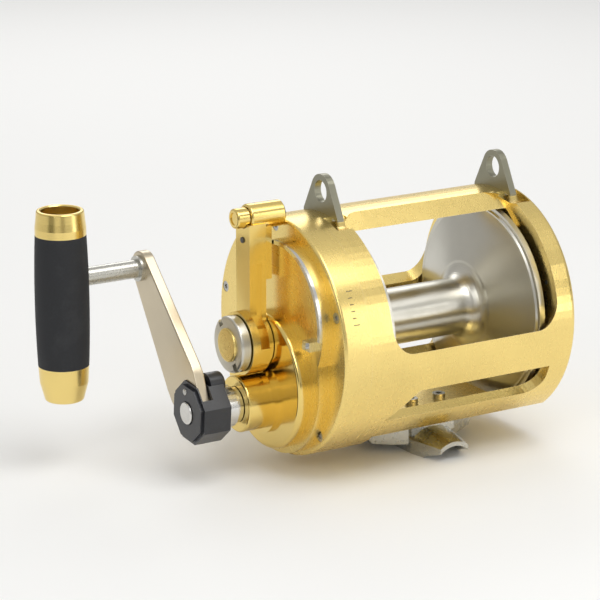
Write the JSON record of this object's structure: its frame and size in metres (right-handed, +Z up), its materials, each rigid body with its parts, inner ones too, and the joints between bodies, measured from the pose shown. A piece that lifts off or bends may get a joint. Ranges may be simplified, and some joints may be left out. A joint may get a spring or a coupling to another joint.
{
  "type": "trolling reel",
  "caption": "Two-speed lever-drag trolling reel with a wide spool, drag lever, preset knob, crank with a rotating grip, harness lugs and a rod saddle.",
  "frame": {"origin": "on the axis of the rod, under the middle of the foot's saddle", "axes": "+X along the spool axis away from the crank, -Y where the line leaves, +Y along the rod towards the angler, +Z up"},
  "size_m": [0.2723, 0.1331, 0.1575],
  "materials": {
    "gold": "satin gold anodised, finely turned",
    "gold_polished": "polished gold anodised",
    "silver_satin": "satin silver anodised",
    "silver_polished": "polished silver",
    "champagne": "satin champagne anodised",
    "stainless": "brushed",
    "lug_steel": "brushed, dull",
    "dark_steel": "blackened",
    "gear_steel": "machined",
    "gear_bronze": "machined bronze",
    "lining": "woven carbon friction lining",
    "grip_foam": "matt black sleeve",
    "hub_black": "black, slightly glossy"
  },
  "bodies": {
    "housing": {"frame": "gold", "bridge_plate": "gear_steel", "crank_side_plate": "gold", "crank_side_screws": "stainless", "gear_housing": "gold_polished", "housing_screws": "gear_steel", "quadrant_ring": "silver_polished", "lever_stop": "silver_polished", "cam_seat": "gear_steel", "pinion_bearing": "gear_steel", "harness_lugs": "lug_steel", "lug_pins": "stainless", "reel_foot": "stainless", "foot_screws": "stainless", "far_side_plate": "gold", "far_side_screws": "stainless", "clicker_spring": "gear_steel", "dog_pins": "gear_steel", "dog_springs": "gear_steel", "gear_shaft_bearings": "gear_steel"},
    "clicker": {"clicker_button": "gold", "clicker_pawl": "gear_steel"},
    "shaft": {"spool_shaft": "gear_steel", "drag_springs": "gear_steel"},
    "knob": {"preset_knob": "silver_satin", "preset_cap": "gold"},
    "spool": {"spool": "silver_satin", "spool_bearings": "gear_steel", "drag_lining": "lining", "clicker_wheel": "gear_steel"},
    "drive": {"drive_plate": "gear_steel", "high_pinion": "gear_steel", "low_pinion": "gear_steel"},
    "slow_gear": {"low_gear": "gear_bronze"},
    "crank": {"gear_shaft": "gear_steel", "high_gear": "gear_bronze", "crank_collar": "silver_polished", "crank_hub": "hub_black", "crank_arm": "champagne", "crank_nut": "gear_steel", "grip_spindle": "stainless", "shift_spring": "gear_steel"},
    "grip": {"spindle_bearings": "gear_steel", "grip_core": "champagne", "grip_sleeve": "grip_foam", "grip_top_cap": "gold", "grip_bottom_cap": "gold"},
    "shifter": {"shift_rod": "silver_polished"},
    "catch": {"release_catch": "hub_black"},
    "lever": {"drag_lever": "gold_polished", "drag_cam": "gear_steel", "lever_screw": "dark_steel", "lever_button_spring": "gear_steel"},
    "lever_lock": {"lever_button": "gold_polished"},
    "front_pawl": {"front_dog": "gear_steel"},
    "rear_pawl": {"rear_dog": "gear_steel"}
  },
  "joints": [
    {"name": "spool_spin", "type": "hinge", "parent": "shaft", "child": "spool", "pos_m": [0, 0, 0.077], "axis": [1, 0, 0], "continuous": true},
    {"name": "drive_spin", "type": "hinge", "parent": "housing", "child": "drive", "pos_m": [-0.06, 0, 0.077], "axis": [1, 0, 0], "continuous": true},
    {"name": "crank_spin", "type": "hinge", "parent": "housing", "child": "crank", "pos_m": [-0.1, -0.0017, 0.04404], "axis": [1, 0, 0], "continuous": true},
    {"name": "low_gear_spin", "type": "hinge", "parent": "housing", "child": "slow_gear", "pos_m": [-0.076, -0.0017, 0.04404], "axis": [1, 0, 0], "continuous": true},
    {"name": "grip_spin", "type": "hinge", "parent": "crank", "child": "grip", "pos_m": [-0.185, 0.05358, 0.10992], "axis": [1, 0, 0], "continuous": true},
    {"name": "shift_button_press", "type": "slide", "parent": "crank", "child": "shifter", "axis": [1, 0, 0], "range_m": [0, 0.0048], "stiffness_N_per_m": 300, "springref_m": -0.004, "deforming": ["shift_spring"]},
    {"name": "release_catch_press", "type": "slide", "parent": "crank", "child": "catch", "axis": [-1, 0, 0], "range_m": [0, 0.0014], "stiffness_N_per_m": 400, "springref_m": -0.002},
    {"name": "drag_lever_swing", "type": "hinge", "parent": "housing", "child": "lever", "pos_m": [-0.1, 0, 0.077], "axis": [1, 0, 0], "range_deg": [-50, 68]},
    {"name": "lever_button_press", "type": "slide", "parent": "lever", "child": "lever_lock", "axis": [1, 0, 0], "range_m": [0, 0.0024], "stiffness_N_per_m": 400, "springref_m": -0.003, "deforming": ["lever_button_spring"]},
    {"name": "drag_shift", "type": "slide", "parent": "housing", "child": "shaft", "axis": [1, 0, 0], "range_m": [-0.00059, 0.00044]},
    {"name": "preset_knob_turn", "type": "hinge", "parent": "shaft", "child": "knob", "pos_m": [-0.113, 0, 0.077], "axis": [1, 0, 0], "range_deg": [-300, 300]},
    {"name": "clicker_slide", "type": "slide", "parent": "housing", "child": "clicker", "axis": [0, 0, -1], "range_m": [0, 0.0041]},
    {"name": "front_dog_rock", "type": "hinge", "parent": "housing", "child": "front_pawl", "pos_m": [-0.058, -0.0132, 0.12626], "axis": [-1, 0, 0], "range_deg": [0, 8], "stiffness_Nm_per_rad": 0.02, "springref_deg": -14.32},
    {"name": "rear_dog_rock", "type": "hinge", "parent": "housing", "child": "rear_pawl", "pos_m": [-0.058, 0.0132, 0.02774], "axis": [-1, 0, 0], "range_deg": [0, 8], "stiffness_Nm_per_rad": 0.02, "springref_deg": -14.32}
  ],
  "couplings": [
    {"joint": "drive_spin", "follows": "spool_spin", "ratio": 1},
    {"joint": "crank_spin", "follows": "spool_spin", "ratio": -0.34694},
    {"joint": "low_gear_spin", "follows": "spool_spin", "ratio": -0.73684},
    {"joint": "drag_lever_swing", "follows": "drag_shift", "rad_per_m": -2000}
  ]
}
